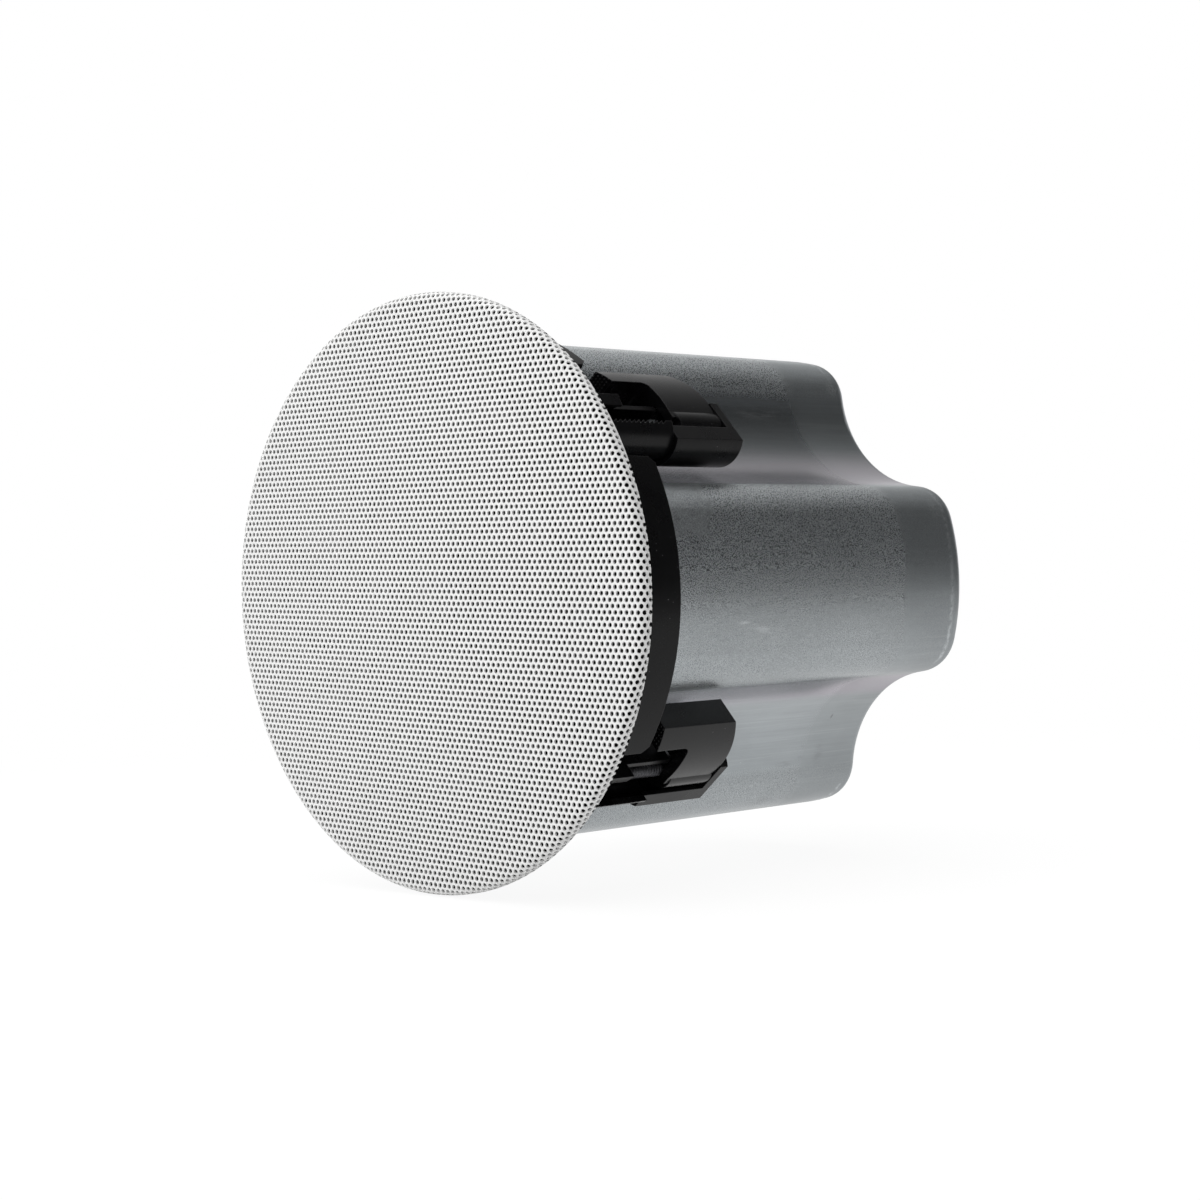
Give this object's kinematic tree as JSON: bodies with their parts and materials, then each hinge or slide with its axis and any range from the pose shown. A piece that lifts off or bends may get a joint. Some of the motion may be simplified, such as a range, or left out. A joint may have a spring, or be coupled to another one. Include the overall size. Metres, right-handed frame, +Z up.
{
  "type": "ceiling loudspeaker with back can",
  "caption": "Flush-mount ceiling loudspeaker: round perforated grille, black frame with swing-out clamps, lobed steel back can.",
  "frame": {"origin": "on the loudspeaker's axis, in the plane of the flange's rear face, which seats on the panel", "axes": "+Y along the axis from the grille to the can's rear wall, +Z up as pictured, +X to the right seen from the grille"},
  "size_m": [0.249, 0.2661, 0.249],
  "materials": {
    "grille_paint": "satin white powder coat on perforated steel",
    "magnet_nickel": "nickel plated",
    "frame_plastic": "moulded black, low sheen",
    "ear_plastic": "moulded black, glass filled",
    "gasket_foam": "closed-cell foam",
    "can_steel": "zinc-coated drawn sheet",
    "black_screws": "black oxide",
    "basket_steel": "black coat",
    "surround_rubber": "soft butyl",
    "cone_plastic": "pressed polypropylene",
    "copper_coil": "enamelled copper wire",
    "spider_cloth": "resin-dipped cotton",
    "plated_steel": "zinc plated",
    "ferrite": "sintered",
    "dome_silk": "coated silk",
    "switch_plastic": "moulded",
    "core_steel": "stacked laminations",
    "winding_tape": "taped winding",
    "board_green": "printed board",
    "white_nylon": "moulded",
    "capacitor_film": "wrapped film",
    "resistor_ceramic": "cement",
    "wadding_fibre": "polyester fibre",
    "terminal_plastic": "moulded",
    "screw_steel": "black oxide machine screw"
  },
  "bodies": {
    "root": {"grille": "grille_paint", "grille_magnets": "magnet_nickel", "mounting_frame": "frame_plastic", "can_gasket": "gasket_foam", "back_can": "can_steel", "can_screws": "black_screws", "woofer_basket": "basket_steel", "woofer_screws": "black_screws", "woofer_surround": "surround_rubber", "woofer_spider": "spider_cloth", "top_plate": "plated_steel", "woofer_magnet": "ferrite", "yoke": "plated_steel", "tweeter_bridge": "frame_plastic", "tweeter_cup": "frame_plastic", "tweeter_plate": "frame_plastic", "tweeter_dome": "dome_silk", "tweeter_motor": "plated_steel", "selector_switch": "switch_plastic", "selector_nut": "plated_steel", "transformer_core": "core_steel", "transformer_bobbin": "winding_tape", "transformer_bracket": "plated_steel", "bracket_screws": "plated_steel", "crossover_board": "board_green", "board_posts": "white_nylon", "capacitors": "capacitor_film", "inductor": "copper_coil", "resistor": "resistor_ceramic", "damping_wadding": "wadding_fibre", "terminal_block": "terminal_plastic", "terminal_screws": "plated_steel", "terminal_cover": "can_steel", "cover_screws": "plated_steel", "cable_gland": "frame_plastic", "gland_nut": "frame_plastic", "safety_loop": "can_steel", "loop_rivet": "plated_steel", "tower_cap_1": "frame_plastic", "tower_cap_2": "frame_plastic", "tower_cap_3": "frame_plastic", "tower_cap_4": "frame_plastic"},
    "cone": {"woofer_cone": "cone_plastic", "dust_cap": "cone_plastic", "voice_coil": "copper_coil"},
    "knob": {"selector_knob": "frame_plastic"},
    "screw_1": {"clamp_screw_1": "screw_steel"},
    "ear_1": {"ear_1": "ear_plastic"},
    "screw_2": {"clamp_screw_2": "screw_steel"},
    "ear_2": {"ear_2": "ear_plastic"},
    "screw_3": {"clamp_screw_3": "screw_steel"},
    "ear_3": {"ear_3": "ear_plastic"},
    "screw_4": {"clamp_screw_4": "screw_steel"},
    "ear_4": {"ear_4": "ear_plastic"}
  },
  "joints": [
    {"name": "ear_swing_1", "type": "hinge", "parent": "root", "child": "screw_1", "pos_m": [0.07549, 0.05, 0.06482], "axis": [0, 1, 0], "range_deg": [0, 68]},
    {"name": "ear_draw_1", "type": "slide", "parent": "screw_1", "child": "ear_1", "axis": [0, -1, 0], "range_m": [0, 0.026]},
    {"name": "ear_swing_2", "type": "hinge", "parent": "root", "child": "screw_2", "pos_m": [-0.06482, 0.05, 0.07549], "axis": [0, 1, 0], "range_deg": [0, 68]},
    {"name": "ear_draw_2", "type": "slide", "parent": "screw_2", "child": "ear_2", "axis": [0, -1, 0], "range_m": [0, 0.026]},
    {"name": "ear_swing_3", "type": "hinge", "parent": "root", "child": "screw_3", "pos_m": [-0.07549, 0.05, -0.06482], "axis": [0, 1, 0], "range_deg": [0, 68]},
    {"name": "ear_draw_3", "type": "slide", "parent": "screw_3", "child": "ear_3", "axis": [0, -1, 0], "range_m": [0, 0.026]},
    {"name": "ear_swing_4", "type": "hinge", "parent": "root", "child": "screw_4", "pos_m": [0.06482, 0.05, -0.07549], "axis": [0, 1, 0], "range_deg": [0, 68]},
    {"name": "ear_draw_4", "type": "slide", "parent": "screw_4", "child": "ear_4", "axis": [0, -1, 0], "range_m": [0, 0.026]},
    {"name": "tap_turn", "type": "hinge", "parent": "root", "child": "knob", "pos_m": [0, 0.005, 0.0924], "axis": [0, 1, 0], "range_deg": [0, 120]},
    {"name": "cone_travel", "type": "slide", "parent": "root", "child": "cone", "axis": [0, -1, 0], "range_m": [-0.004, 0.004], "stiffness_N_per_m": 1200, "deforming": ["woofer_surround", "woofer_spider"]}
  ]
}
